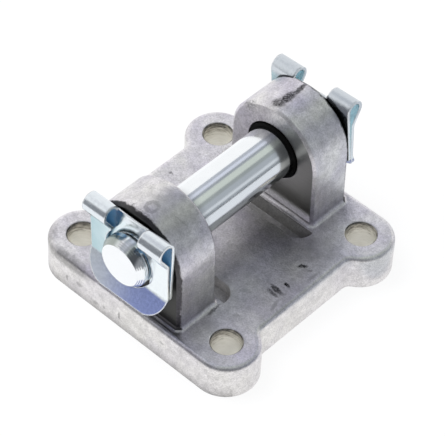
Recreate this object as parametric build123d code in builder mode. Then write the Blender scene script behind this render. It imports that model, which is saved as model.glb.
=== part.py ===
from build123d import *
import os
from math import cos, radians, sin, tan

os.makedirs("parts", exist_ok=True)

# Swivel flange for the rear end of a pneumatic cylinder, with its pivot pin.
# X runs across the ears, Y along the pin and Z up from the face that is bolted on.
# The origin is the middle of that face, and the front is towards -Y.
# All lengths are in millimetres and all angles in degrees.

# Base plate of the casting
bolt_pitch = 56.5
bolt_hole_diameter = 9.0
bolt_hole_chamfer = 0.4
plate_thickness = 12.0
plate_edge_radius = 1.7
lobe_radius = 10.0
waist_half_width = 32.0
waist_corner_radius = 3.0
pilot_diameter = 45.0
pilot_depth = 4.5
pilot_chamfer = 0.5

# Ears of the casting
pivot_height = 32.0
clevis_gap = 40.0
ear_thickness = 15.0
crown_radius = 16.0
ear_draft = 1.1
ear_edge_chamfer = 1.0
ear_inner_chamfer = 0.8
ear_foot_radius = 1.4

# Pockets along the feet of the ears' inner faces
pocket_length = 36.5
pocket_width = 5.5
pocket_depth = 3.7
pocket_straight_end = 0.8
pocket_upright_rim = 0.7
pocket_slope_width = 1.3

# Bushes
bush_wall = 1.05
bush_proud = 0.5
bush_bore_chamfer = 0.4

# Pivot pin
pin_diameter = 16.0
pin_running_clearance = 0.05
pin_cap_length = 4.4
pin_end_length = 1.8
pin_end_drop = 1.3
groove_depth = 1.4

# Folded spring clips.  Heights and drops are measured from the pin's axis.
sheet = 0.9
clip_width = 29.4
loop_radius = 2.55
loop_height = 12.15
loop_angle = 215.0
loop_spacing = 12.6
bridge_rise = 1.4
ramp_length = 5.0
leaf_gap = 0.1
pinch_drop = 5.7
lip_drop = 14.0
lip_flare = 3.15
lip_corner_radius = 8.0
fold_radius = 2.0
prong_length = 6.5
snap_clearance = 1.0
snap_corner_radius = 1.5
slot_clearance = 0.2
arch_clearance = 0.8
leaf_ear_clearance = 0.15
leaf_groove_clearance = 0.15
clip_lean = 3.5
clip_angle = {"front": 1.7, "rear": 3.0}

# Edges and faces are told apart by their places, to this length
tiny = 0.01

# Sizes that follow from the ones above
pin_radius = pin_diameter / 2
groove_radius = pin_radius - groove_depth
bush_inner_radius = pin_radius + pin_running_clearance
bush_outer_radius = bush_inner_radius + bush_wall
ear_inner_y = clevis_gap / 2
ear_outer_y = ear_inner_y + ear_thickness
ear_foot_drop = pivot_height - plate_thickness
ear_foot_half_width = (crown_radius / cos(radians(ear_draft))
                       + ear_foot_drop * tan(radians(ear_draft)))
# The fillets round the ears' feet end before the rounded edge of the plate
foot_room = bolt_pitch / 2 + lobe_radius - plate_edge_radius - ear_outer_y
foot_radius = min(ear_foot_radius, foot_room - tiny)
# The clips lean, so their seat on the pin lies further out than the top of the back leaf,
# and the groove is wider than the sheet
leaf_seat_y = ear_outer_y + leaf_ear_clearance + loop_height * sin(radians(clip_lean))
groove_slant = pin_radius * sin(radians(clip_lean)) + leaf_groove_clearance
groove_start_y = leaf_seat_y - groove_slant
groove_end_y = leaf_seat_y + sheet + groove_slant
pin_end_y = groove_end_y + pin_cap_length

# Each end of the pin has an ear, a bush and a clip, and its own direction along Y
ends = {"front": -1, "rear": 1}


def facing_out(toward, distance):
    """The plane square to the pin at this distance from the middle, facing out of one end."""
    return Plane(origin=(0, toward * distance, pivot_height), x_dir=(-toward, 0, 0), z_dir=(0, toward, 0))


# Flange body, one aluminium casting
with BuildPart() as flange_body:
    # Plate: four lobes round the bolt holes, with straight sides at the front and rear and
    # set-back sides left and right
    with BuildSketch():
        Rectangle(bolt_pitch, bolt_pitch + 2 * lobe_radius)
        Rectangle(2 * waist_half_width, bolt_pitch)
        with GridLocations(bolt_pitch, bolt_pitch, 2, 2):
            Circle(lobe_radius)
        waist_corners = vertices().filter_by(lambda v: abs(abs(v.X) - waist_half_width) < tiny)
        fillet(waist_corners, radius=waist_corner_radius)
    extrude(amount=plate_thickness)
    fillet(edges().group_by(Axis.Z)[-1], radius=plate_edge_radius)

    # Ears: a round crown about the pin, with sides that open slightly down to the plate
    for toward in ends.values():
        with BuildSketch(facing_out(toward, ear_inner_y)):
            with BuildLine():
                crown = CenterArc((0, 0), crown_radius, ear_draft, 180 - 2 * ear_draft)
                Polyline(
                    crown @ 1,
                    (-ear_foot_half_width, -ear_foot_drop),
                    (ear_foot_half_width, -ear_foot_drop),
                    crown @ 0,
                )
            make_face()
        extrude(amount=ear_thickness)

    # The broken edges of the ears' faces, and the fillets round their feet
    for face_y, edge_break in ((ear_outer_y, ear_edge_chamfer), (ear_inner_y, ear_inner_chamfer)):
        ear_faces = faces().filter_by(Plane.XZ).filter_by(
            lambda f: abs(abs(f.center().Y) - face_y) < tiny
        )
        ear_edges = ear_faces.edges().filter_by(lambda e: e.center().Z > plate_thickness + tiny)
        chamfer(ear_edges, length=edge_break)
    foot_edges = edges().filter_by(
        lambda e: abs(e.center().Z - plate_thickness) < tiny
        and ear_inner_y - tiny < abs(e.center().Y) < ear_outer_y + tiny
        and abs(e.center().X) < ear_foot_half_width + tiny
    )
    fillet(foot_edges, radius=foot_radius)

    # Pockets that let an eye swing close over the plate, up to the fillets of the ears' feet
    pocket_y = ear_inner_y - foot_radius - pocket_width / 2
    with BuildSketch(Plane.XY.offset(plate_thickness)):
        with GridLocations(pocket_length, 2 * pocket_y, 1, 2):
            Rectangle(pocket_length, pocket_width)
        far_corners = vertices().filter_by(lambda v: abs(v.Y) < pocket_y)
        fillet(far_corners, radius=pocket_width - pocket_straight_end)
    extrude(amount=-pocket_depth, mode=Mode.SUBTRACT)

    # Below a short upright rim, the pockets' walls under the ears slope out to the floor
    for toward in ends.values():
        pocket_floor = faces().filter_by(Plane.XY).filter_by(
            lambda f: abs(f.center().Z - plate_thickness + pocket_depth) < tiny and toward * f.center().Y > 0
        )[0]
        foot_edge = pocket_floor.edges().sort_by(lambda e: abs(e.center().Y))[-1]
        slope_height = pocket_depth - pocket_upright_rim
        chamfer(foot_edge, pocket_slope_width, slope_height, reference=pocket_floor)

    # Bores for the bushes
    with BuildSketch(facing_out(1, 0)):
        Circle(bush_outer_radius)
    extrude(amount=ear_outer_y, both=True, mode=Mode.SUBTRACT)
    bore_rims = edges().filter_by(GeomType.CIRCLE).filter_by(
        lambda e: abs(e.radius - bush_outer_radius) < tiny and abs(abs(e.center().Y) - ear_inner_y) < tiny
    )
    chamfer(bore_rims, length=bush_bore_chamfer)

    # Bolt holes, and the recess underneath that centres the flange on the cylinder
    with Locations(Plane.XY.offset(plate_thickness)):
        with GridLocations(bolt_pitch, bolt_pitch, 2, 2):
            Hole(bolt_hole_diameter / 2)
    bolt_rims = edges().filter_by(GeomType.CIRCLE).filter_by(
        lambda e: abs(e.radius - bolt_hole_diameter / 2) < tiny
    )
    chamfer(bolt_rims.group_by(Axis.Z)[-1], length=bolt_hole_chamfer)
    with BuildSketch():
        Circle(pilot_diameter / 2)
    extrude(amount=pilot_depth, mode=Mode.SUBTRACT)
    pilot_rim = edges().filter_by(GeomType.CIRCLE).filter_by(
        lambda e: abs(e.radius - pilot_diameter / 2) < tiny
    ).sort_by(Axis.Z)[0]
    chamfer(pilot_rim, length=pilot_chamfer)

# Pivot pin, turned, with a groove outside each ear and tapered ends
with BuildPart() as pivot_pin:
    with BuildSketch(Plane(origin=(0, 0, pivot_height), x_dir=(0, 1, 0), z_dir=(1, 0, 0))):
        with BuildLine():
            Polyline(
                (0, 0),
                (0, pin_radius),
                (groove_start_y, pin_radius),
                (groove_start_y, groove_radius),
                (groove_end_y, groove_radius),
                (groove_end_y, pin_radius),
                (pin_end_y - pin_end_length, pin_radius),
                (pin_end_y, pin_radius - pin_end_drop),
                (pin_end_y, 0),
                close=True,
            )
        make_face()
        mirror(about=Plane.YZ)
    revolve(axis=Axis((0, 0, pivot_height), (0, 1, 0)))

flange_body.part.label = "flange_body"
export_step(flange_body.part, "parts/flange_body.step")
pivot_pin.part.label = "pivot_pin"
export_step(pivot_pin.part, "parts/pivot_pin.step")

# Plain bushes, flush with the ears' outer faces and standing proud of the inner ones
for name, toward in ends.items():
    with BuildPart() as bush:
        with BuildSketch(facing_out(toward, ear_inner_y - bush_proud)):
            Circle(bush_outer_radius)
            Circle(bush_inner_radius, mode=Mode.SUBTRACT)
        extrude(amount=ear_thickness + bush_proud)
    bush.part.label = f"bush_{name}"
    export_step(bush.part, f"parts/bush_{name}.step")

# Spring clips.  Each is one sheet folded over into two loops.  The back leaf straddles the
# pin's groove, and the front leaf snaps over the pin's end so that the clip can't slide off.
for name, toward in ends.items():
    lean_then_turn = (toward * clip_lean, -clip_angle[name], 0)
    seat = facing_out(toward, leaf_seat_y).rotated(lean_then_turn, Extrinsic.XYZ)
    side_view = Plane(origin=seat.origin, x_dir=seat.z_dir, z_dir=-seat.x_dir)
    loop_top = loop_height + loop_radius + sheet
    clip_depth = 2 * loop_radius + lip_flare + 2 * sheet
    between_leaves = sheet + leaf_gap / 2
    with BuildPart() as clip:
        # Section seen from the side: back leaf, loop, ramp, pinch and flared lip
        with BuildSketch(side_view):
            with BuildLine():
                leaf = Line((sheet / 2, -prong_length), (sheet / 2, loop_height))
                loop = JernArc(leaf @ 1, leaf % 1, loop_radius, -loop_angle)
                pinch_out = 1.5 * sheet + leaf_gap
                FilletPolyline(
                    loop @ 1,
                    loop @ 1 + (loop % 1) * ramp_length,
                    (pinch_out, -pinch_drop),
                    (pinch_out + lip_flare, -lip_drop),
                    radius=fold_radius,
                )
            trace(line_width=sheet)
        extrude(amount=clip_width / 2, both=True)

        # Rounded corners of the lip
        with BuildSketch(seat.offset(-sheet)):
            with Locations((0, (loop_top - lip_drop) / 2)):
                Rectangle(clip_width, loop_top + lip_drop)
            fillet(vertices().group_by(Axis.Y)[0], radius=lip_corner_radius)
        extrude(amount=clip_depth, mode=Mode.INTERSECT)

        # Back leaf: an open slot that fits the groove, with a wider round at its top
        with BuildSketch(seat):
            Circle(groove_radius + arch_clearance)
            with Locations((0, -prong_length / 2)):
                Rectangle(2 * (groove_radius + slot_clearance), prong_length + sheet)
        extrude(amount=between_leaves, mode=Mode.SUBTRACT)

        # The space between the loops, down to the bridge that joins them
        with BuildSketch(seat):
            with Locations((0, loop_height + bridge_rise + loop_top / 2)):
                Rectangle(loop_spacing, loop_top)
        extrude(amount=clip_depth, mode=Mode.SUBTRACT)

        # Front leaf: that space runs on down into the round hole that snaps over the pin
        with BuildSketch(seat.offset(between_leaves)):
            Circle(pin_radius + snap_clearance)
            with Locations((0, loop_top / 2)):
                Rectangle(loop_spacing, loop_top)
            throat = vertices().filter_by(lambda v: tiny < v.Y < loop_top - tiny)
            fillet(throat, radius=snap_corner_radius)
        extrude(amount=clip_depth, mode=Mode.SUBTRACT)
    clip.part.label = f"clip_{name}"
    export_step(clip.part, f"parts/clip_{name}.step")
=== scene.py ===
# %% [markdown]
# # Swivel flange
#
# A clevis flange bolts to the back of a pneumatic cylinder and lets it swing about a pin.
# Six pieces make it: the casting, the pin, two bushes and two folded spring clips.
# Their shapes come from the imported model, because a machinist's sizes should not be guessed
# twice.  This file gives them their finish, a photographer's table, the light and the camera.

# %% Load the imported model
import math
import bpy
from mathutils import Matrix, Vector

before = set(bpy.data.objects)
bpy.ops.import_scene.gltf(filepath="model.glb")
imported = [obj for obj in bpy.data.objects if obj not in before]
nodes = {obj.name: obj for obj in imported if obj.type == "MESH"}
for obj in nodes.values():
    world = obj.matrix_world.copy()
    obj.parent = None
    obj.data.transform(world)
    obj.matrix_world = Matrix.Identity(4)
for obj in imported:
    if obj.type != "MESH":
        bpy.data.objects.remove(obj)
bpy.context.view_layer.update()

# Sizes are written in millimetres, as on a drawing, and MM turns them to Blender's metres
MM = 0.001

print("nodes:", ", ".join(sorted(nodes)))

# %% [markdown]
# ## Camera
#
# The picture is taken from the front right and well above, with a long lens, so upright edges
# hardly lean.  A camera can be aimed by eye, with a Track To constraint.  This one was solved
# from the known sizes of the part, the bolt pitch, the pin and the ears, so its place, lens and
# roll are written as numbers.  A camera looks along its own -Z, so its third axis points back
# from the object.

# %% Camera
CAMERA_AZIMUTH = 41.15
CAMERA_ELEVATION = 47.73
CAMERA_ROLL = 2.90
CAMERA_PLACE = (304.69, -348.87, 528.24)
FOCAL_PIXELS = 2417.8
FRAME_WIDTH = 445
SENSOR_WIDTH = 36.0
NEAREST_SHOWN = 10.0

azimuth = math.radians(CAMERA_AZIMUTH)
elevation = math.radians(CAMERA_ELEVATION)
roll = math.radians(CAMERA_ROLL)
back = Vector((math.sin(azimuth) * math.cos(elevation),
               -math.cos(azimuth) * math.cos(elevation),
               math.sin(elevation)))
level_right = (-back).cross(Vector((0, 0, 1))).normalized()
level_up = level_right.cross(-back)
camera_x = math.cos(roll) * level_right + math.sin(roll) * level_up
camera_y = math.cos(roll) * level_up - math.sin(roll) * level_right

scene = bpy.context.scene
camera_data = bpy.data.cameras.new("photo_camera")
camera_data.sensor_width = SENSOR_WIDTH
camera_data.lens = FOCAL_PIXELS / FRAME_WIDTH * SENSOR_WIDTH
camera_data.clip_start = NEAREST_SHOWN * MM
camera = bpy.data.objects.new("photo_camera", camera_data)
scene.collection.objects.link(camera)
turn = Matrix((camera_x, camera_y, back)).transposed().to_4x4()
camera.matrix_world = Matrix.Translation(Vector(CAMERA_PLACE) * MM) @ turn
scene.camera = camera
print("lens", round(camera_data.lens, 1), "mm")

# %% [markdown]
# ## Colours and nodes
#
# A designer picks colours as hex values, and a shader needs linear numbers, so one function
# turns the first to the second.  Nodes can be placed by hand in the Shader Editor.  In a script,
# one small function adds a node, sets it up and links its inputs, so that a material reads as a
# list of what it does.

# %% Colours and nodes
def linear(hex_colour):
    """The linear RGBA value of an sRGB hex colour such as 'C8C8C8'."""
    channels = [int(hex_colour[i:i + 2], 16) / 255 for i in (0, 2, 4)]
    decoded = [c / 12.92 if c <= 0.04045 else ((c + 0.055) / 1.055) ** 2.4 for c in channels]
    return (*decoded, 1.0)


def add(tree, kind, *values, **named):
    """Adds a shader node.

    Names in small letters set the node up, and the others are inputs.  Values without a name
    fill the inputs in their order.  A value can be a number, a node or a node's output.
    """
    node = tree.nodes.new("ShaderNode" + kind)
    for name, value in named.items():
        if name.islower():
            setattr(node, name, value)
    sockets = [socket for socket in node.inputs if socket.enabled]
    by_name = {socket.name.replace(" ", "_"): socket for socket in sockets}
    given = list(zip(sockets, values))
    given += [(by_name[name], value) for name, value in named.items() if not name.islower()]
    for socket, value in given:
        if isinstance(value, bpy.types.Node):
            value = next(output for output in value.outputs if output.enabled)
        if isinstance(value, bpy.types.NodeSocket):
            tree.links.new(value, socket)
        else:
            socket.default_value = value
    return node


print("grey C8C8C8 is", [round(c, 3) for c in linear("C8C8C8")[:3]])

# %% [markdown]
# ## Table and room
#
# A product photographer stands small hardware on a white table in a white room.  A real white
# floor under real lamps turns grey at its edges, so here the world, and a share of the floor,
# glow white for the camera and in reflections only.  The light that falls on the object stays
# plain, and the floor keeps the object's shadow.

# %% White room
WORLD_LIGHT = 0.75
WORLD_COLOUR = "F6F8FF"
WHITE = "FFFFFF"

scene.view_settings.view_transform = "Standard"


def sees_background(tree):
    """One for rays from the eye, from a reflection or through glass, and zero for the others."""
    path = add(tree, "LightPath").outputs
    first = add(tree, "Math", path["Is Camera Ray"], path["Is Glossy Ray"], operation="MAXIMUM")
    return add(tree, "Math", first, path["Is Transmission Ray"], operation="MAXIMUM")


scene.world = bpy.data.worlds.new("white_studio")
scene.world.use_nodes = True
world_tree = scene.world.node_tree
world_tree.nodes.clear()
seen = add(world_tree, "Background", Color=linear(WHITE), Strength=1.0)
lighting = add(world_tree, "Background", Color=linear(WORLD_COLOUR), Strength=WORLD_LIGHT)
room = add(world_tree, "MixShader", sees_background(world_tree), lighting, seen)
add(world_tree, "OutputWorld", room)
print("the room lights the part with", WORLD_LIGHT, "and shows white")

# %% Table
FLOOR_SIZE = 4000.0
FLOOR_COLOUR = "F4F4F4"
FLOOR_SHOWS_WHITE = 0.88


def new_material(name):
    """An empty material and its node tree."""
    material = bpy.data.materials.new(name)
    material.use_nodes = True
    material.node_tree.nodes.clear()
    return material, material.node_tree


# Matt white card, which shows no reflection of the object
floor_material, floor_tree = new_material("white_table")
matt = add(floor_tree, "BsdfDiffuse", Color=linear(FLOOR_COLOUR))
glow = add(floor_tree, "Emission", Color=linear(WHITE), Strength=1.0)
share = add(floor_tree, "Math", sees_background(floor_tree), FLOOR_SHOWS_WHITE,
            operation="MULTIPLY")
add(floor_tree, "OutputMaterial", add(floor_tree, "MixShader", share, matt, glow))

half = FLOOR_SIZE / 2 * MM
corners = [(-half, -half, 0), (half, -half, 0), (half, half, 0), (-half, half, 0)]
floor_mesh = bpy.data.meshes.new("table")
floor_mesh.from_pydata(corners, [], [(0, 1, 2, 3)])
floor_mesh.materials.append(floor_material)
floor = bpy.data.objects.new("table", floor_mesh)
scene.collection.objects.link(floor)
print("table of", round(2 * half, 1), "m")

# %% [markdown]
# ## Reflector boards
#
# Bright metal has no colour of its own: it shows the room.  A polished cylinder in an all-white
# room looks flat, so grey boards are hung round it, and their edges become the long light and
# dark bands along the pin.  Large lamps could make such bands too, but they would also light the
# casting.  The boards here are curved strips along the pin's axis that show only in reflections.

# %% Table of the boards
# Name, then where the board starts and ends in degrees from straight up towards +X, then its
# colour.  The strip light is short, and hangs in front of its wall.
BOARDS = [
    ("gap_by_softbox", -30, -18, "B2B6BF"),
    ("softbox_left", -18, -5, "D6DAE6"),
    ("gap_between_softboxes", -5, 6, "999EA4"),
    ("softbox_right", 6, 30, "C9D0C9"),
    ("grey_wall", 30, 45, "999F9F"),
    ("grey_wall_end", 45, 67, "A8AEB4"),
    ("wall_behind_strip", 67, 79, "8C9298"),
    ("skirting", 79, 88, "989EA4"),
    ("dark_join", 88, 92, "585C60"),
]
STRIP_LIGHT = ("strip_light", 67, 79, "D0D5DA")
print(len(BOARDS), "boards and a strip light")

# %% Reflector boards
PIVOT_HEIGHT = 32.0
BOARD_RADIUS = 900.0
BOARD_REACH = 1500.0
BOARD_STEP = 3.0
STRIP_REACH = (400.0, 680.0)
STRIP_RADIUS = 890.0


def reflector(name, rows, colour):
    """A ribbon between pairs of points that glows in this colour and shows only in reflections."""
    quads = [(i, i + 1, i + 3, i + 2) for i in range(0, len(rows) - 2, 2)]
    mesh = bpy.data.meshes.new(name)
    mesh.from_pydata(rows, [], quads)
    material, tree = new_material(name)
    add(tree, "OutputMaterial", add(tree, "Emission", Color=linear(colour), Strength=1.0))
    mesh.materials.append(material)
    made = bpy.data.objects.new(name, mesh)
    scene.collection.objects.link(made)
    made.visible_camera = False
    made.visible_diffuse = False
    made.visible_shadow = False
    return made


def board(name, start, end, colour, reach=(-BOARD_REACH, BOARD_REACH), radius=BOARD_RADIUS):
    """A strip of a tunnel round the pin's axis."""
    steps = max(1, round((end - start) / BOARD_STEP))
    rows = []
    for step in range(steps + 1):
        angle = math.radians(start + (end - start) * step / steps)
        x = radius * math.sin(angle) * MM
        z = (PIVOT_HEIGHT + radius * math.cos(angle)) * MM
        rows += [(x, y * MM, z) for y in reach]
    return reflector(name, rows, colour)


boards = [board(*strip) for strip in BOARDS]
boards.append(board(*STRIP_LIGHT, reach=STRIP_REACH, radius=STRIP_RADIUS))
print("hung:", ", ".join(made.name for made in boards))

# %% [markdown]
# ## Cards and screen
#
# The underside of the pin and the walls of the casting reflect the table.  Two pale cards on it,
# beside and behind the part, keep those reflections from going plain white.  A darker table
# would do that too, but the camera would see it.  The side of the room where the photographer
# stands is dim, and a curved grey screen stands for it, so that what faces the camera is not
# washed out.

# %% Cards and screen
CARD_EDGE = 39.5
CARD_FROM = 5.0
CARD_HEIGHT = 1.0
CARD_COLOUR = "DFE3E8"
SCREEN_RADIUS = 230.0
SCREEN_HEIGHT = 300.0
SCREEN_FROM = -35.0
SCREEN_TO = 85.0
SCREEN_COLOUR = "8A8C90"


def card(name, xs, ys):
    """A card that lies on the table."""
    rows = [(x * MM, y * MM, CARD_HEIGHT * MM) for x in xs for y in ys]
    return reflector(name, rows, CARD_COLOUR)


def screen():
    """An upright screen, curved round the part from SCREEN_FROM to SCREEN_TO degrees."""
    steps = round((SCREEN_TO - SCREEN_FROM) / BOARD_STEP)
    rows = []
    for step in range(steps + 1):
        angle = math.radians(SCREEN_FROM + (SCREEN_TO - SCREEN_FROM) * step / steps)
        x = SCREEN_RADIUS * math.sin(angle) * MM
        y = -SCREEN_RADIUS * math.cos(angle) * MM
        rows += [(x, y, 0.0), (x, y, SCREEN_HEIGHT * MM)]
    return reflector("screen", rows, SCREEN_COLOUR)


card("card_right", (CARD_EDGE, BOARD_RADIUS), (CARD_FROM, BOARD_REACH))
card("card_back", (-CARD_EDGE, CARD_EDGE), (CARD_EDGE, BOARD_REACH))
screen()
print("two cards, and a screen", SCREEN_HEIGHT, "mm high")

# %% [markdown]
# ## Lamps
#
# The white room gives most of the light.  A lamp from the left and above makes the ears' right
# sides darker than their left ones, and a weaker one from the front opens the shadows.  Sun or
# point lamps would draw hard shadows, so both are large area lamps.  They are kept out of
# reflections, where the boards do the work.

# %% Lamps
AIM_HEIGHT = 20.0

# Name, place in mm, side in mm and power in watts
LAMPS = [
    ("key", (-420, -160, 700), 620, 6.0),
    ("fill", (560, -520, 420), 620, 3.0),
]


def hang_lamp(name, place, size, watts):
    """A square lamp that points at the part and shows in no reflection."""
    lamp_data = bpy.data.lights.new(name, "AREA")
    lamp_data.size = size * MM
    lamp_data.energy = watts
    lamp = bpy.data.objects.new(name, lamp_data)
    scene.collection.objects.link(lamp)
    lamp.location = Vector(place) * MM
    away = lamp.location - Vector((0, 0, AIM_HEIGHT * MM))
    lamp.rotation_mode = "QUATERNION"
    lamp.rotation_quaternion = away.to_track_quat("Z", "Y")
    lamp.visible_glossy = False
    print(name, "lamp of", watts, "W")


for lamp_row in LAMPS:
    hang_lamp(*lamp_row)

# %% [markdown]
# ## Zones of the casting
#
# The body is die-cast in aluminium and tumbled.  Then the ears' faces are milled and the bolt
# holes drilled, and each of these leaves its own finish.  The zones could be picked face by face
# in Edit Mode and given a material each.  Here one material finds them itself, by where a spot
# lies on the piece and which way it faces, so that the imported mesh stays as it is.

# %% Milled zones
PLATE_TOP = 12.0
EAR_INNER = 20.0
EAR_OUTER = 35.0
ON_FACE = 0.1
SQUARE_ON = 0.99


def place_and_facing(tree):
    """The object's own coordinates, whole and split in three, and its true normal split."""
    spot = add(tree, "TexCoord").outputs["Object"]
    normal = add(tree, "NewGeometry").outputs["True Normal"]
    return spot, add(tree, "SeparateXYZ", spot).outputs, add(tree, "SeparateXYZ", normal).outputs


def machined_faces(tree, place, facing):
    """One on the ears' inner faces, and one on their outer faces."""
    side = add(tree, "Math", place["Y"], operation="ABSOLUTE")
    across = add(tree, "Math", facing["Y"], operation="ABSOLUTE")
    square = add(tree, "Math", across, SQUARE_ON, operation="GREATER_THAN")
    above_plate = add(tree, "Math", place["Z"], PLATE_TOP * MM, operation="GREATER_THAN")
    face = add(tree, "Math", square, above_plate, operation="MULTIPLY")
    faces = []
    for target in (EAR_INNER, EAR_OUTER):
        beyond = add(tree, "Math", side, target * MM, operation="SUBTRACT")
        offset = add(tree, "Math", beyond, operation="ABSOLUTE")
        close = add(tree, "Math", offset, ON_FACE * MM, operation="LESS_THAN")
        faces.append(add(tree, "Math", face, close, operation="MULTIPLY"))
    return faces


print("milled faces at", EAR_INNER, "and", EAR_OUTER, "mm")

# %% Holes and pockets
BOLT_PLACE = 28.25
DRILLED_RADIUS = 4.75
BELOW_PLATE_TOP = 0.05


def drilled_holes(tree, place):
    """One inside the four bolt holes."""
    offsets = []
    for axis in ("X", "Y"):
        side = add(tree, "Math", place[axis], operation="ABSOLUTE")
        offsets.append(add(tree, "Math", side, BOLT_PLACE * MM, operation="SUBTRACT"))
    away = add(tree, "CombineXYZ", *offsets)
    radius = add(tree, "VectorMath", away, operation="LENGTH")
    return add(tree, "Math", radius, DRILLED_RADIUS * MM, operation="LESS_THAN")


def pockets(tree, place):
    """One inside the two pockets beside the ears."""
    deepest = (PLATE_TOP - BELOW_PLATE_TOP) * MM
    inside = add(tree, "Math", place["Z"], deepest, operation="LESS_THAN")
    for axis in ("X", "Y"):
        away = add(tree, "Math", place[axis], operation="ABSOLUTE")
        within = add(tree, "Math", away, EAR_INNER * MM, operation="LESS_THAN")
        inside = add(tree, "Math", inside, within, operation="MULTIPLY")
    return inside


print("bolt holes at", BOLT_PLACE, "mm from the middle lines")

# %% [markdown]
# ## Skin of the casting
#
# Metal that froze against a steel mould has a dull skin, clouded in warmer and bluer grey, and
# speckled like sand paper.  A picture of such a skin could be wrapped round the piece.  Noise on
# the piece's own coordinates has no seams, and its size is set in millimetres, so three noises
# do it: wide patches change the colour, and clouds and grain the brightness.

# %% Noises of the skin
PATCH_SIZE = 11.0
MOTTLE_SIZE = 2.2

# Real grain is finer than 0.2 mm, which is less than a pixel, so it is drawn coarser
GRAIN_SIZE = 0.45

# The noise from and to, and what it becomes there
CLOUDS = (0.28, 0.72, 0.85, 1.13)
SPECKS = (0.2, 0.8, 0.8, 1.18)

# A Map Range node eases in and out with this setting
SMOOTHLY = {"interpolation_type": "SMOOTHSTEP"}


def skin_noises(tree, spot):
    """Patches, mottle and grain."""
    patches = add(tree, "TexNoise", Vector=spot, Scale=1 / (PATCH_SIZE * MM), Detail=3.0)
    mottle = add(tree, "TexNoise", Vector=spot, Scale=1 / (MOTTLE_SIZE * MM), Detail=5.0,
                 Roughness=0.65)
    grain = add(tree, "TexNoise", Vector=spot, Scale=1 / (GRAIN_SIZE * MM), Detail=2.0,
                Roughness=0.6)
    return patches, mottle, grain


def skin_texture(tree, mottle, grain):
    """How bright clouds and specks make the skin, and the specks by themselves."""
    cloud = add(tree, "MapRange", mottle, *CLOUDS, **SMOOTHLY)
    speck = add(tree, "MapRange", grain, *SPECKS, **SMOOTHLY)
    return add(tree, "Math", cloud, speck, operation="MULTIPLY"), speck


print("patches", PATCH_SIZE, "mottle", MOTTLE_SIZE, "grain", GRAIN_SIZE, "mm")

# %% Colour of the skin
SKIN_STOPS = [(0.3, "CECAD5"), (0.7, "E4E2E1")]
# The plate's upright walls are painted paler, a painted reflection of the white table
WALL_REFLECTION_COLOUR = "E6E4E0"
WALL_REFLECTION_SHARE = 0.5
UPRIGHT = 0.5

# A Mix node mixes colours with this setting
IN_COLOUR = {"data_type": "RGBA"}


def set_stops(colour_ramp, stops):
    """Gives a colour ramp its stops, each a place from 0 to 1 and a hex colour."""
    elements = colour_ramp.elements
    for element, (position, colour) in zip(elements, (stops[0], stops[-1])):
        element.position = position
        element.color = linear(colour)
    for position, colour in stops[1:-1]:
        elements.new(position).color = linear(colour)


def skin_colour(tree, patches, place, facing):
    """Bluer and warmer patches, and a paler painted reflection of the table on the plate's walls.
    """
    skin = add(tree, "ValToRGB", patches)
    set_stops(skin.color_ramp, SKIN_STOPS)
    lean = add(tree, "Math", facing["Z"], operation="ABSOLUTE")
    upright = add(tree, "Math", lean, UPRIGHT, operation="LESS_THAN")
    low = add(tree, "Math", place["Z"], PLATE_TOP * MM, operation="LESS_THAN")
    wall = add(tree, "Math", upright, low, operation="MULTIPLY")
    pale_wall_reflection = add(tree, "Math", wall, WALL_REFLECTION_SHARE, operation="MULTIPLY")
    return add(tree, "Mix", pale_wall_reflection, skin, linear(WALL_REFLECTION_COLOUR), **IN_COLOUR)


print("skin from", SKIN_STOPS[0][1], "to", SKIN_STOPS[1][1])

# %% [markdown]
# ## Tumbling and painted shade
#
# The stones in the tumbling drum rub bright what they can reach, so corners between ear and
# plate, and the hollow between the ears, stay darker.  This darkening is partly the drum's reach
# and partly painted shade.  That could be painted on by hand, but Ambient Occlusion measures how
# open a spot is, which is just that reach.  The plate's top also gets a soft dark middle, which
# is painted shade, and it is painted a little lighter further out.

# %% Tumbling and painted shade
TUMBLED_AND_SHADE_REACH = 60.0

# The colour darkens where a spot is closed in: partly the drum's reach, partly painted shade
# How open a spot is, from and to, and how bright it is there
TUMBLED_AND_SHADED = (0.3, 0.95, 0.68, 1.0)
# A darker middle on the plate's top is painted shade, with a little painted light further out
PAINTED_SHADE_CENTRE = (15.0, -4.0, 12.0)
PAINTED_SHADE_FROM = 10.0
PAINTED_SHADE_TO = 34.0
PAINTED_SHADE_TONES = (0.76, 1.1)
ABOVE_PLATE_TOP = 0.1
LEVEL = 0.8


def tumbled_and_painted_shade(tree, spot, place, facing, textured):
    """How bright the drum and painted shade leave the skin, with the skin's own texture in it."""
    reach = add(tree, "AmbientOcclusion", Distance=TUMBLED_AND_SHADE_REACH * MM, samples=8, only_local=True)
    tumbled = add(tree, "MapRange", reach.outputs["AO"], *TUMBLED_AND_SHADED, **SMOOTHLY)
    centre = [c * MM for c in PAINTED_SHADE_CENTRE]
    from_shade_centre = add(tree, "VectorMath", spot, centre, operation="DISTANCE")
    hollow = add(tree, "MapRange", from_shade_centre, PAINTED_SHADE_FROM * MM, PAINTED_SHADE_TO * MM, *PAINTED_SHADE_TONES,
                 **SMOOTHLY)
    plate_limit = (PLATE_TOP + ABOVE_PLATE_TOP) * MM
    on_plate = add(tree, "Math", place["Z"], plate_limit, operation="LESS_THAN")
    level = add(tree, "Math", facing["Z"], LEVEL, operation="GREATER_THAN")
    top_of_plate = add(tree, "Math", on_plate, level, operation="MULTIPLY")
    dimmed = add(tree, "Mix", top_of_plate, 1.0, hollow)
    rubbed = add(tree, "Math", textured, tumbled, operation="MULTIPLY")
    return add(tree, "Math", rubbed, dimmed, operation="MULTIPLY")


# The darkening of closed spots, partly painted shade, is measured over this reach
print("the drum's reach is measured over", TUMBLED_AND_SHADE_REACH, "mm")

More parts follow.
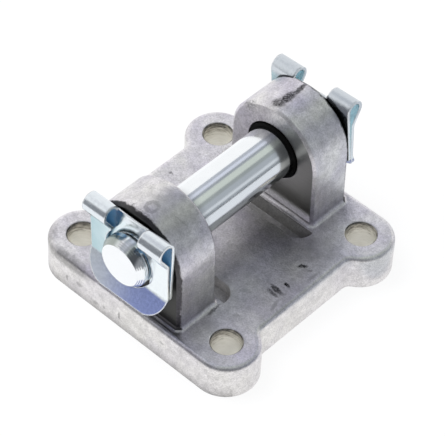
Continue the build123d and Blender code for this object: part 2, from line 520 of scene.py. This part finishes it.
# %% [markdown]
# ## Milled faces
#
# A cutter faces the ears.  On the inner faces it cleaned up only the lower right, so the skin
# stays above a slanting line, and also on the foot, which the cutter's corner did not reach.
# Milled metal is smoother and flatter in colour, with faint swirls.  They could be a bump, but at
# this size they show only as bands of two greys.

# %% Milled faces
# The direction across the slanting line, and where the milled finish fades in beyond it
CLEANED_ACROSS = 0.8
CLEANED_DOWN = 0.6
CLEANED_FROM = -5.0
CLEANED_TO = 3.0
FOOT_TOP = 17.0
FOOT_BOTTOM = 14.6

# Real swirls lie closer together than a pixel, so they are drawn coarser
SWIRL_LENGTH = 6.0
SWIRL_WIDTH = 0.5
MILLED_DARK = "A6A6A2"
MILLED_LIGHT = "BABAB6"
# The outer faces are painted darker, as painted shade
SHADED_OUTER_FACE = "9A9A96"


def milled_faces(tree, place, inner, outer):
    """One where the cutter left its finish, and one on the feet of the inner faces."""
    across = add(tree, "Math", place["X"], CLEANED_ACROSS, operation="MULTIPLY")
    down = add(tree, "Math", place["Z"], -CLEANED_DOWN, CLEANED_DOWN * PIVOT_HEIGHT * MM,
               operation="MULTIPLY_ADD")
    slant = add(tree, "Math", across, down, operation="ADD")
    cleaned = add(tree, "MapRange", slant, CLEANED_FROM * MM, CLEANED_TO * MM, **SMOOTHLY)
    low = add(tree, "MapRange", place["Z"], FOOT_TOP * MM, FOOT_BOTTOM * MM, **SMOOTHLY)
    foot = add(tree, "Math", inner, low, operation="MULTIPLY")
    off_foot = add(tree, "Math", 1.0, foot, operation="SUBTRACT")
    cleaned_above = add(tree, "Math", cleaned, off_foot, operation="MULTIPLY")
    inner_milled = add(tree, "Math", inner, cleaned_above, operation="MULTIPLY")
    return add(tree, "Math", inner_milled, outer, operation="MAXIMUM"), foot


def milled_colour(tree, spot, outer):
    """Swirls in two greys, and one darker grey on the outer faces as painted shade."""
    stretch = (1 / (SWIRL_LENGTH * MM), 0.0, 1 / (SWIRL_WIDTH * MM))
    cutter = add(tree, "Mapping", Vector=spot, Scale=stretch)
    swirl = add(tree, "TexNoise", Vector=cutter, Scale=1.0, Detail=3.0)
    milled = add(tree, "Mix", swirl, linear(MILLED_DARK), linear(MILLED_LIGHT), **IN_COLOUR)
    return add(tree, "Mix", outer, milled, linear(SHADED_OUTER_FACE), **IN_COLOUR)


print("the cutter's corner stays", round(FOOT_BOTTOM - PLATE_TOP, 1), "mm above the plate")

# %% [markdown]
# ## Bolt holes
#
# The four holes are drilled, so their walls are bright metal with faint rings.  Their colour is
# painted lighter towards the bottom, as painted light from the white table, and darker under the
# rim and on the walls that face +X, as painted shade.  Rings could be cut in the mesh, but they
# are finer than the picture shows.  A noise that is flat and wide makes them instead, and it
# pushes the edge of the painted shade up and down.

# %% Bolt holes
# Real rings are about 0.2 mm apart, which is less than a pixel, so they are drawn coarser
RING_WIDTH = 3.0
RING_HEIGHT = 0.7
RING_DEPTH = 0.85
RING_CENTRE = -0.46
SIDE_SHADE = 0.06
# Painted light at the bottom of a hole, and painted shade under its rim
HOLE_LIGHT_AND_SHADE_STOPS = [(0.25, "FFFDF6"), (0.68, "E6E3D9"), (0.84, "A8A397"), (1.0, "3C3B39")]


def drilled_colour(tree, spot, place, facing):
    """Painted light at the bottom of a hole, and painted shade under its rim and on one side."""
    stretch = [1 / (size * MM) for size in (RING_WIDTH, RING_WIDTH, RING_HEIGHT)]
    stretched = add(tree, "Mapping", Vector=spot, Scale=stretch)
    rings = add(tree, "TexNoise", Vector=stretched, Scale=1.0, Detail=4.0, Roughness=0.75)
    height = add(tree, "Math", place["Z"], 1 / (PLATE_TOP * MM), RING_CENTRE,
                 operation="MULTIPLY_ADD")
    ringed = add(tree, "Math", rings, RING_DEPTH, height, operation="MULTIPLY_ADD")
    # Walls that face +X are painted darker, as painted shade
    leaning = add(tree, "Math", facing["X"], SIDE_SHADE, ringed, operation="MULTIPLY_ADD")
    wall = add(tree, "ValToRGB", leaning)
    set_stops(wall.color_ramp, HOLE_LIGHT_AND_SHADE_STOPS)
    return wall


print("a hole's wall has", len(HOLE_LIGHT_AND_SHADE_STOPS), "tones")

# %% [markdown]
# ## Marks of the mould and of handling
#
# Where two streams of metal meet in a mould they can leave a cold shut, a dark seam.  Handling
# adds scratches, scars, pits and stains.  They could be painted on an image that is wrapped round
# the piece.  Here each mark is a stretched ball in space that darkens the skin inside it, and one
# noise bends all the edges so that none looks drawn.

# %% Table of the marks
# What it is, its centre, its half lengths, its turn in degrees about Z, and how dark it is.
# A ring is dark only round its rim.
MARKS = [
    ("cold_shut", (-1.4, 22.9, 47.7), (2.2, 2.4, 2.5), -8, 0.85),
    ("cold_shut", (-0.9, 26.3, 47.9), (1.8, 3.8, 2.5), 4, 0.88),
    ("cold_shut", (-0.8, 30.8, 47.9), (0.85, 4.2, 2.5), 5, 0.85),
    ("ring", (1.3, -30.6, 47.8), (2.3, 2.6, 2.0), 0, 0.42),
    ("scratch", (2.6, -33.6, 47.2), (5.2, 0.3, 2.2), 0, 0.4),
    ("scratch", (-3.1, -33.4, 47.6), (0.25, 1.5, 1.5), -12, 0.5),
    ("scratch", (8.3, -27.2, 45.2), (3.4, 0.3, 3.0), 15, 0.4),
    ("scratch", (-10.2, 20.2, 43.5), (3.8, 0.3, 3.4), 0, 0.5),
    ("stain", (5.5, -27.0, 46.0), (9.0, 9.0, 6.0), 10, 0.24),
    ("stain", (24.0, 15.0, 12.0), (6.5, 6.5, 1.0), 0, 0.2),
    ("smudge", (-24.5, -37.6, 10.6), (11.5, 2.8, 2.4), 0, 0.5),
    ("smudge", (-35.5, -34.5, 10.8), (3.0, 5.0, 2.4), 45, 0.4),
    ("pit", (-24.5, -38.2, 4.2), (0.6, 1.0, 1.3), 0, 0.45),
    ("pit", (-19.5, -38.2, 5.0), (1.4, 1.0, 0.8), 0, 0.4),
    ("pit", (-13.0, -38.2, 2.6), (1.2, 1.0, 0.7), 0, 0.35),
    ("pit", (-9.5, -38.2, 3.4), (0.9, 1.0, 0.8), 0, 0.35),
    ("pit", (-3.6, -38.2, 4.6), (0.45, 1.0, 1.9), 0, 0.55),
    ("pit", (13.0, -38.2, 7.0), (0.8, 1.0, 0.8), 0, 0.35),
    ("scar", (25.3, -4.5, 12.0), (2.9, 0.95, 1.0), -8, 0.85),
    ("scar", (25.2, -6.2, 12.0), (2.4, 0.75, 1.0), -6, 0.7),
    ("scar", (26.2, -1.1, 12.0), (1.4, 0.75, 1.0), -13, 0.95),
    ("scar", (24.6, 7.1, 12.0), (1.8, 0.8, 1.0), 49, 0.9),
    ("scar", (27.3, 7.3, 12.0), (1.0, 0.5, 1.0), 23, 0.4),
    ("stain", (29.4, 6.2, 12.0), (0.6, 3.2, 1.0), 0, 0.25),
    ("stain", (19.6, -10.8, 12.0), (1.8, 1.0, 1.0), 20, 0.15),
    ("stain", (28.8, -9.2, 12.0), (0.7, 2.6, 1.0), 20, 0.3),
    ("stain", (23.6, -19.4, 12.0), (1.2, 0.7, 1.0), 40, 0.2),
    ("groove", (17.9, -22.6, 12.4), (0.55, 3.8, 1.4), 2, 0.6),
    ("scar", (-27.0, 6.8, 12.0), (1.0, 0.5, 1.0), 30, 0.65),
    ("stain", (-24.0, -8.0, 12.0), (2.5, 1.6, 1.0), 0, 0.3),
]
print(len(MARKS), "marks of the mould and of handling")

# %% Mask of the marks
RAGGED_BY = 1.0
RAGGED_SIZE = 1.1
NOISE_MIDDLE = (0.5, 0.5, 0.5)
RIM = 0.3

# A mark fades from the first to the second of these, in its own half lengths
MARK_FADE = (1.1, 0.5)
FLECK_SIZE = 0.55

# The noise from and to, and how much of a mark shows there
FLECKS = (0.32, 0.56, 0.6, 1.0)


def ragged_place(tree, spot):
    """The place, shifted this way and that, so that an edge through it looks ragged."""
    wander = add(tree, "TexNoise", Vector=spot, Scale=1 / (RAGGED_SIZE * MM), Detail=4.0,
                 Roughness=0.75)
    centred = add(tree, "VectorMath", wander.outputs["Color"], NOISE_MIDDLE, operation="SUBTRACT")
    shift = add(tree, "VectorMath", centred, 2 * RAGGED_BY * MM, operation="SCALE")
    return add(tree, "VectorMath", spot, shift, operation="ADD")


def marks_mask(tree, spot):
    """How dark the marks are at each place, from zero to one."""
    ragged = ragged_place(tree, spot)
    mask = None
    for kind, centre, half_lengths, turn_degrees, darkness in MARKS:
        local = add(tree, "Mapping", Vector=ragged, Location=[c * MM for c in centre],
                    Rotation=(0, 0, math.radians(turn_degrees)),
                    Scale=[h * MM for h in half_lengths], vector_type="TEXTURE")
        distance = add(tree, "VectorMath", local, operation="LENGTH")
        if kind == "ring":
            from_rim = add(tree, "Math", distance, 1 - RIM, operation="SUBTRACT")
            off_rim = add(tree, "Math", from_rim, operation="ABSOLUTE")
            distance = add(tree, "Math", off_rim, RIM, operation="DIVIDE")
        mark = add(tree, "MapRange", distance, *MARK_FADE, 0.0, darkness, **SMOOTHLY)
        mask = mark if mask is None else add(tree, "Math", mask, mark, operation="MAXIMUM")
    flecks = add(tree, "TexNoise", Vector=spot, Scale=1 / (FLECK_SIZE * MM), Detail=3.0)
    broken = add(tree, "MapRange", flecks, *FLECKS, **SMOOTHLY)
    return add(tree, "Math", mask, broken, operation="MULTIPLY")


print("the marks' edges wander by up to", RAGGED_BY, "mm")

# %% [markdown]
# ## Painted shade by the clips and in the far pocket
#
# The gap between each clip and its ear is painted darker, as painted shade, and so is a ragged band
# round the outer edge of each ear.  The far pocket is painted darker too, as painted shade.  A
# second material could be laid over the metal.  Here the shade is a number that the colour is
# multiplied by.

# %% Painted shade by the clips and in the far pocket
# The gaps by the clips are painted darker, as painted shade
CLIP_SIDE = 34.0
GAP_REACH = 8.0

# How open the gap is, from and to, and how bright the metal is there
GAP_SHADE = (0.15, 0.85, 0.1, 1.0)
# A ragged band round each ear's outer edge is painted darker, as painted shade
EDGE_SHADE_WANDER = 2.4
EDGE_SHADE_FROM = 35.15
EDGE_SHADE_FADE = 0.3
EDGE_SHADE_TONE = 0.12
FILLET_TOP = 0.3
# The far pocket is painted darker, as painted shade
FAR_POCKET_SHADE = 0.6


def painted_gap_shade(tree, place, mottle):
    """Painted shade by the clips and round the ears' outer edges, and one elsewhere."""
    side = add(tree, "Math", place["Y"], operation="ABSOLUTE")
    by_clips = add(tree, "Math", side, CLIP_SIDE * MM, operation="GREATER_THAN")
    gap = add(tree, "AmbientOcclusion", Distance=GAP_REACH * MM, samples=8)
    in_gap = add(tree, "MapRange", gap.outputs["AO"], *GAP_SHADE, **SMOOTHLY)
    gap_shaded = add(tree, "Mix", by_clips, 1.0, in_gap)
    edge_shade_limit = add(tree, "Math", mottle, EDGE_SHADE_WANDER * MM, side, operation="MULTIPLY_ADD")
    edge_shaded = add(tree, "MapRange", edge_shade_limit, (EDGE_SHADE_FROM - EDGE_SHADE_FADE) * MM,
                (EDGE_SHADE_FROM + EDGE_SHADE_FADE) * MM, 1.0, EDGE_SHADE_TONE, **SMOOTHLY)
    on_ear = add(tree, "Math", place["Z"], (PLATE_TOP + FILLET_TOP) * MM,
                 operation="GREATER_THAN")
    return gap_shaded, add(tree, "Mix", on_ear, 1.0, edge_shaded)


def marks_and_painted_shade(tree, place, unmarked, gap_shaded, edged, in_pocket):
    """Marks and painted shade together, with more painted shade in the far pocket."""
    marks_and_gap_shade = add(tree, "Math", unmarked, gap_shaded, operation="MULTIPLY")
    marks_and_shades = add(tree, "Math", marks_and_gap_shade, edged, operation="MULTIPLY")
    towards_far = add(tree, "MapRange", place["Y"], -EAR_INNER * MM, EAR_INNER * MM,
                      1.0, FAR_POCKET_SHADE, **SMOOTHLY)
    in_pockets = add(tree, "Math", marks_and_shades, towards_far, operation="MULTIPLY")
    return add(tree, "Mix", in_pocket, marks_and_shades, in_pockets)


# How far the painted shade round the ears' edges wanders
print("grease creeps up to", EDGE_SHADE_WANDER, "mm round the ears' edges")

# %% [markdown]
# ## Cast aluminium
#
# The parts above meet in one metal, whose masks let one finish run into the next, where separate
# materials would meet in a hard line.  Tumbled aluminium scatters its highlights, so it looks
# soft and grey, and the milled faces are a little sharper.  Where the metal has oxidised, in the
# holes, on the ears' feet and in the pockets, it is no full mirror, so Metallic comes down there.
# Grain and marks are a bump, and a Bevel node rounds the edges that the mould rounded.

# %% Oxide and bumps
DRILLED_DULL = 0.8
FOOT_DULL = 0.75

# Oxide in the far pocket, and in the near one
POCKET_DULL = (0.25, 0.6)
NEAR_POCKET_FROM = 5.0
CAST_BUMP = 0.6
MILLED_BUMP = 0.04
GRAIN_SHARE = 0.6
BUMP_HEIGHT = 0.12
CAST_EDGE = 0.35


def oxidised(tree, place, drilled, foot, in_pocket):
    """How far oxide has taken away the metal's mirror."""
    near = add(tree, "MapRange", place["Y"], NEAR_POCKET_FROM * MM, -NEAR_POCKET_FROM * MM,
               *POCKET_DULL, **SMOOTHLY)
    walls = add(tree, "Math", drilled, DRILLED_DULL, operation="MULTIPLY")
    feet = add(tree, "Math", foot, FOOT_DULL, operation="MULTIPLY")
    dull = add(tree, "Math", walls, feet, operation="MAXIMUM")
    floors = add(tree, "Math", in_pocket, near, operation="MULTIPLY")
    return add(tree, "Math", dull, floors, operation="MAXIMUM")


def cast_bump(tree, mottle, grain, marks, milled):
    """Grain and marks as bumps, nearly flat on the milled faces, with rounded edges."""
    height = add(tree, "Math", grain, GRAIN_SHARE, mottle, operation="MULTIPLY_ADD")
    scarred = add(tree, "Math", height, marks, operation="SUBTRACT")
    strength = add(tree, "MapRange", milled, 0.0, 1.0, CAST_BUMP, MILLED_BUMP, **SMOOTHLY)
    soft_edge = add(tree, "Bevel", Radius=CAST_EDGE * MM, samples=4)
    return add(tree, "Bump", Strength=strength, Distance=BUMP_HEIGHT * MM, Height=scarred,
               Normal=soft_edge)


print("bumps of", BUMP_HEIGHT, "mm, edges rounded by", CAST_EDGE, "mm")

# %% Casting material
CAST_ROUGHNESS = 0.34
MILLED_ROUGHNESS = 0.3


def cast_aluminium():
    """Tumbled die-cast aluminium with milled ears and drilled holes."""
    material, tree = new_material("cast_aluminium")
    spot, place, facing = place_and_facing(tree)
    inner, outer = machined_faces(tree, place, facing)
    drilled = drilled_holes(tree, place)
    in_pocket = pockets(tree, place)
    milled, foot = milled_faces(tree, place, inner, outer)

    patches, mottle, grain = skin_noises(tree, spot)
    textured, speck = skin_texture(tree, mottle, grain)
    shade = tumbled_and_painted_shade(tree, spot, place, facing, textured)
    skin = add(tree, "Mix", 1.0, skin_colour(tree, patches, place, facing), shade,
               blend_type="MULTIPLY", **IN_COLOUR)
    faced = add(tree, "Mix", milled, skin, milled_colour(tree, spot, outer), **IN_COLOUR)
    bored = add(tree, "Mix", drilled, faced, drilled_colour(tree, spot, place, facing),
                **IN_COLOUR)

    marks = marks_mask(tree, spot)
    speckled_marks = add(tree, "Math", marks, speck, operation="MULTIPLY")
    unmarked = add(tree, "Math", 1.0, speckled_marks, operation="SUBTRACT")
    # Painted shade by the clips, round the ears' edges and in the far pocket
    gap_shaded, edged = painted_gap_shade(tree, place, mottle)
    marks_and_shade = marks_and_painted_shade(tree, place, unmarked, gap_shaded, edged, in_pocket)
    colour = add(tree, "Mix", 1.0, bored, marks_and_shade, blend_type="MULTIPLY", **IN_COLOUR)

    dull = oxidised(tree, place, drilled, foot, in_pocket)
    metallic = add(tree, "Math", 1.0, dull, operation="SUBTRACT")
    rough = add(tree, "MapRange", milled, 0.0, 1.0, CAST_ROUGHNESS, MILLED_ROUGHNESS, **SMOOTHLY)
    bump = cast_bump(tree, mottle, grain, marks, milled)
    metal = add(tree, "BsdfPrincipled", Base_Color=colour, Metallic=metallic, Roughness=rough,
                Normal=bump)
    add(tree, "OutputMaterial", metal)
    return material


def dress(node_name, material):
    """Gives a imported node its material."""
    mesh = nodes[node_name].data
    mesh.materials.clear()
    mesh.materials.append(material)
    print(node_name, "is finished in", material.name)


dress("flange_body", cast_aluminium())

# %% [markdown]
# ## Ground pin
#
# The pin is steel, ground between centres and polished, with ends that are left as the lathe
# turned them.  It mirrors the boards above it.  The rings of the wheel and of the lathe's tool
# run round it, and could be modelled as fine grooves.  A bump is enough, since they only spread
# each highlight a little along the bar.

# %% Rings on the pin
# The wheel's real rings are a few hundredths of a millimetre wide, so they are drawn coarser
WHEEL_RING_WIDTH = 0.25
WHEEL_RING_LENGTH = 50.0
WHEEL_RING_DEPTH = 0.004
WHEEL_RING_STRENGTH = 0.25
TURNED_FROM = 38.8

# The lathe's real rings are finer than a pixel too
TURNED_SPACING = 0.5
TURNED_STRENGTH = 0.3
PIN_EDGE = 0.5


def pin_rings(tree, spot, side, turned):
    """The pin's normal, with the wheel's rings all along it and the tool's near its ends."""
    stretch = [1 / (size * MM) for size in (WHEEL_RING_LENGTH, WHEEL_RING_WIDTH, WHEEL_RING_LENGTH)]
    along = add(tree, "Mapping", Vector=spot, Scale=stretch)
    rings = add(tree, "TexNoise", Vector=along, Scale=1.0, Detail=2.0)
    soft_edge = add(tree, "Bevel", Radius=PIN_EDGE * MM, samples=4)
    ground = add(tree, "Bump", Strength=WHEEL_RING_STRENGTH, Distance=WHEEL_RING_DEPTH * MM,
                 Height=rings, Normal=soft_edge)
    tool = add(tree, "Math", side, TURNED_SPACING / 2 * MM, operation="PINGPONG")
    tool_rings = add(tree, "Math", tool, turned, operation="MULTIPLY")

    # These rings have their true height already, so the bump's distance is one
    return add(tree, "Bump", Strength=TURNED_STRENGTH, Distance=1.0, Height=tool_rings,
               Normal=ground)


print("the ends are turned from", TURNED_FROM, "mm, with a ring every", TURNED_SPACING, "mm")

# %% [markdown]
# ## Painted reflections on the pin
#
# Beside the bushes the pin is painted darker, a painted reflection of the dark bushes and ear
# faces that it mirrors there.  On the turned ends, one side and a band on the upper side are
# painted darker, painted reflections of the clip.  Each is a darker tint of the steel.

# %% Painted reflections on the pin
CLEAN_STEEL = ("F0F3F6", "FAFCFE")
# The pin is painted darker beside the bushes, a painted reflection of the dark bushes
DARK_REFLECTION = "3C4046"
DARK_REFLECTION_SHARE = 0.55
DARK_REFLECTION_FROM = 13.0
DARK_REFLECTION_TO = 18.5
OUT_OF_BUSH = 34.0
# One side of the turned ends is painted darker, a painted reflection of the clip
SHADED_SIDE_STEEL = "A3AAA6"
SHADED_SIDE_FROM = 0.0
SHADED_SIDE_TO = -3.0
# A band on the upper side of the turned ends is painted darker, a painted reflection of the clip
REFLECTION_BAND = "8A8E92"

# The dark band fades in between the first two, and out between the others, towards +X
REFLECTION_BAND_FROM = (2.3, 3.1)
REFLECTION_BAND_TO = (6.1, 5.0)
END_FACE = 0.9


def steel_with_dark_reflection(tree, side, cloud):
    """Clean steel, painted darker beside the bushes as a painted reflection."""
    clean = add(tree, "Mix", cloud, *(linear(tone) for tone in CLEAN_STEEL), **IN_COLOUR)
    bush_reflection_share = add(tree, "MapRange", side, DARK_REFLECTION_FROM * MM, DARK_REFLECTION_TO * MM, 0.0, DARK_REFLECTION_SHARE, **SMOOTHLY)
    beside_bush = add(tree, "Math", side, OUT_OF_BUSH * MM, operation="LESS_THAN")
    # How much of the painted reflection of the bushes shows
    film = add(tree, "Math", bush_reflection_share, beside_bush, operation="MULTIPLY")
    return add(tree, "Mix", film, clean, linear(DARK_REFLECTION), **IN_COLOUR)


def ends_with_painted_reflections(tree, steel, place, facing, turned):
    """The steel with painted reflections, darker on one side of the ends and in a band above."""
    across = add(tree, "Math", facing["Y"], operation="ABSOLUTE")
    off_end_face = add(tree, "Math", across, END_FACE, operation="LESS_THAN")
    round_side = add(tree, "Math", turned, off_end_face, operation="MULTIPLY")
    shaded_side = add(tree, "MapRange", place["X"], SHADED_SIDE_FROM * MM, SHADED_SIDE_TO * MM, **SMOOTHLY)
    rubbed = add(tree, "Math", round_side, shaded_side, operation="MULTIPLY")
    side_shaded = add(tree, "Mix", rubbed, steel, linear(SHADED_SIDE_STEEL), **IN_COLOUR)
    edges = [add(tree, "MapRange", place["X"], start * MM, end * MM, **SMOOTHLY)
             for start, end in (REFLECTION_BAND_FROM, REFLECTION_BAND_TO)]
    band = add(tree, "Math", *edges, operation="MULTIPLY")
    upper = add(tree, "Math", facing["Z"], 0.0, operation="GREATER_THAN")
    upper_band = add(tree, "Math", band, upper, operation="MULTIPLY")
    reflected_band = add(tree, "Math", upper_band, round_side, operation="MULTIPLY")
    return add(tree, "Mix", reflected_band, side_shaded, linear(REFLECTION_BAND), **IN_COLOUR)


# Where the painted reflection beside the bushes begins
print("oil darkens the pin from", DARK_REFLECTION_FROM, "mm out")

# %% Pin material
PIN_CLOUD_SIZE = 6.0

# The noise from and to, and the roughness there
PIN_ROUGHNESS = (0.3, 0.7, 0.09, 0.15)


def ground_steel():
    """Polished steel: a sharp mirror whose highlights spread a little along the bar."""
    material, tree = new_material("ground_steel")
    spot, place, facing = place_and_facing(tree)
    side = add(tree, "Math", place["Y"], operation="ABSOLUTE")
    turned = add(tree, "Math", side, TURNED_FROM * MM, operation="GREATER_THAN")
    cloud = add(tree, "TexNoise", Vector=spot, Scale=1 / (PIN_CLOUD_SIZE * MM), Detail=3.0)
    steel = ends_with_painted_reflections(tree, steel_with_dark_reflection(tree, side, cloud), place, facing, turned)
    rough = add(tree, "MapRange", cloud, *PIN_ROUGHNESS)
    metal = add(tree, "BsdfPrincipled", Base_Color=steel, Metallic=1.0, Roughness=rough,
                Normal=pin_rings(tree, spot, side, turned))
    add(tree, "OutputMaterial", metal)
    return material


dress("pivot_pin", ground_steel())

# %% [markdown]
# ## Zinc-plated spring steel
#
# The clips are pressed from spring steel and zinc plated.  The clear passivation over the zinc
# is a film about as thin as a soap bubble's, so it tints the metal, from almost white to a
# greenish or lilac blue.  Blender has a thin film input for that, which changes with the view.
# Here the tint is set by where the film drained to: thicker and bluer on the lip below the fold,
# and greener towards one side.

# %% Tint of the film
FOLD_HEIGHT = 25.9
FOLD_FADE = 0.5
HALF_CLIP = 13.0
LOOPS_FROM = 41.0
LOOPS_TO = 44.0
DRIFT_SIZE = 7.0
DRIFT = 8.0
LEAF_STOPS = [(0.0, "AFCBD2"), (0.45, "E4F0F4"), (1.0, "F0F7FA")]
LIP_LEFT = "BEC4CA"
LIP_RIGHT = "828EBC"


def film_tint(tree, spot, place, loop_colour):
    """The tint of the leaf, the loops above it and the lip below it."""
    drift = add(tree, "TexNoise", Vector=spot, Scale=1 / (DRIFT_SIZE * MM), Detail=2.0)
    along = add(tree, "Math", drift, DRIFT * MM, place["X"], operation="MULTIPLY_ADD")
    sideways = add(tree, "MapRange", along, -HALF_CLIP * MM, HALF_CLIP * MM, **SMOOTHLY)
    leaf = add(tree, "ValToRGB", sideways)
    set_stops(leaf.color_ramp, LEAF_STOPS)
    lip = add(tree, "Mix", sideways, linear(LIP_LEFT), linear(LIP_RIGHT), **IN_COLOUR)
    loops = add(tree, "MapRange", place["Z"], LOOPS_FROM * MM, LOOPS_TO * MM, **SMOOTHLY)
    looped = add(tree, "Mix", loops, leaf, linear(loop_colour), **IN_COLOUR)
    fold = add(tree, "MapRange", place["Z"], (FOLD_HEIGHT - FOLD_FADE) * MM,
               (FOLD_HEIGHT + FOLD_FADE) * MM, **SMOOTHLY)
    return add(tree, "Mix", fold, lip, looped, **IN_COLOUR)


print("the film is bluer below", FOLD_HEIGHT, "mm")

# %% [markdown]
# ## Loops and cut edges
#
# Inside the loops the colour is painted darker and bluer, as painted shade, and less of the metal
# shows there.  Ambient Occlusion on the clip alone finds those places.  The press rounds each cut
# edge, and a painted highlight makes it bright.  A Bevel node turns the normal near an edge, so
# the edge is where that normal and the flat one disagree, with no need to mark it on the mesh.

# %% Clip material
LOOP_REACH = 5.0

# Inside the loops the colour is painted darker, as painted shade
# How open a spot is at a loop's rim, and deep inside it
DEEP_IN_LOOP = (0.75, 0.3)
METAL_HIDDEN = 0.75
PUNCHED_EDGE = 0.65

# How far the two normals agree where the sheet is flat, and where the painted edge highlight is
# full
EDGE_HIGHLIGHT_RANGE = (0.985, 0.9)
# The colour of the painted highlight on the cut edges
EDGE_HIGHLIGHT = "FAFCFD"

# The zinc's real crystals are far too fine to see, so they are drawn coarser
CRYSTAL_SIZE = 0.8
CRYSTAL_HEIGHT = 0.01
CRYSTAL_STRENGTH = 0.2

# The noise from and to, and the roughness there
CLIP_ROUGHNESS = (0.3, 0.7, 0.14, 0.24)


def plated_spring_steel(name, loop_colour, loop_shade_colour):
    """Zinc with a tinting film, painted shade inside its loops and a painted highlight on its
    edges.
    """
    material, tree = new_material(name)
    spot = add(tree, "TexCoord").outputs["Object"]
    place = add(tree, "SeparateXYZ", spot).outputs
    reach = add(tree, "AmbientOcclusion", Distance=LOOP_REACH * MM, samples=8, only_local=True)
    depth = add(tree, "MapRange", reach.outputs["AO"], *DEEP_IN_LOOP, **SMOOTHLY)
    tint = film_tint(tree, spot, place, loop_colour)
    # Painted shade inside the loops
    shaded_loops = add(tree, "Mix", depth, tint, linear(loop_shade_colour), **IN_COLOUR)

    rounded = add(tree, "Bevel", Radius=PUNCHED_EDGE * MM, samples=6)
    flat = add(tree, "NewGeometry").outputs["Normal"]
    agreement = add(tree, "VectorMath", rounded, flat, operation="DOT_PRODUCT")
    rubbed = add(tree, "MapRange", agreement, *EDGE_HIGHLIGHT_RANGE, **SMOOTHLY)
    # A painted highlight along the cut edges
    edged = add(tree, "Mix", rubbed, shaded_loops, linear(EDGE_HIGHLIGHT), **IN_COLOUR)

    crystals = add(tree, "TexNoise", Vector=spot, Scale=1 / (CRYSTAL_SIZE * MM), Detail=3.0)
    rough = add(tree, "MapRange", crystals, *CLIP_ROUGHNESS, **SMOOTHLY)
    bump = add(tree, "Bump", Strength=CRYSTAL_STRENGTH, Distance=CRYSTAL_HEIGHT * MM,
               Height=crystals, Normal=rounded)
    hidden = add(tree, "Math", depth, METAL_HIDDEN, operation="MULTIPLY")
    metallic = add(tree, "Math", 1.0, hidden, operation="SUBTRACT")
    metal = add(tree, "BsdfPrincipled", Base_Color=edged, Metallic=metallic, Roughness=rough,
                Normal=bump)
    add(tree, "OutputMaterial", metal)
    return material


# The front clip's loops are painted darker and bluer inside than the rear one's, as painted shade
dress("clip_front", plated_spring_steel("blue_zinc_spring_steel", "E6ECF1", "6CA4C8"))
dress("clip_rear", plated_spring_steel("pale_zinc_spring_steel", "CED4DA", "CDEBF2"))

# %% [markdown]
# ## Bushes
#
# Each ear carries a plain sleeve of black bearing plastic.  It is dull and nearly black, with a
# little sheen where the light grazes its rim.  A single dark colour would look like a hole, so a
# fine noise varies its tone and its roughness a little.

# %% Bush material
# The moulded grain is finer than a pixel, so it is drawn coarser
PLASTIC_GRAIN = 0.3
PLASTIC_DARK = "030303"
PLASTIC_LIGHT = "0C0C0B"
PLASTIC_ROUGHNESS = (0.45, 0.62)


def bearing_plastic():
    """Dull black bearing plastic with a fine grain: nearly no highlight."""
    material, tree = new_material("bearing_plastic")
    spot = add(tree, "TexCoord").outputs["Object"]
    fine = add(tree, "TexNoise", Vector=spot, Scale=1 / (PLASTIC_GRAIN * MM), Detail=2.0)
    tone = add(tree, "Mix", fine, linear(PLASTIC_DARK), linear(PLASTIC_LIGHT), **IN_COLOUR)
    rough = add(tree, "MapRange", fine, 0.0, 1.0, *PLASTIC_ROUGHNESS)
    plastic = add(tree, "BsdfPrincipled", Base_Color=tone, Roughness=rough, IOR=1.5,
                  Specular_IOR_Level=0.06)
    add(tree, "OutputMaterial", plastic)
    return material


bush_material = bearing_plastic()
dress("bush_front", bush_material)
dress("bush_rear", bush_material)
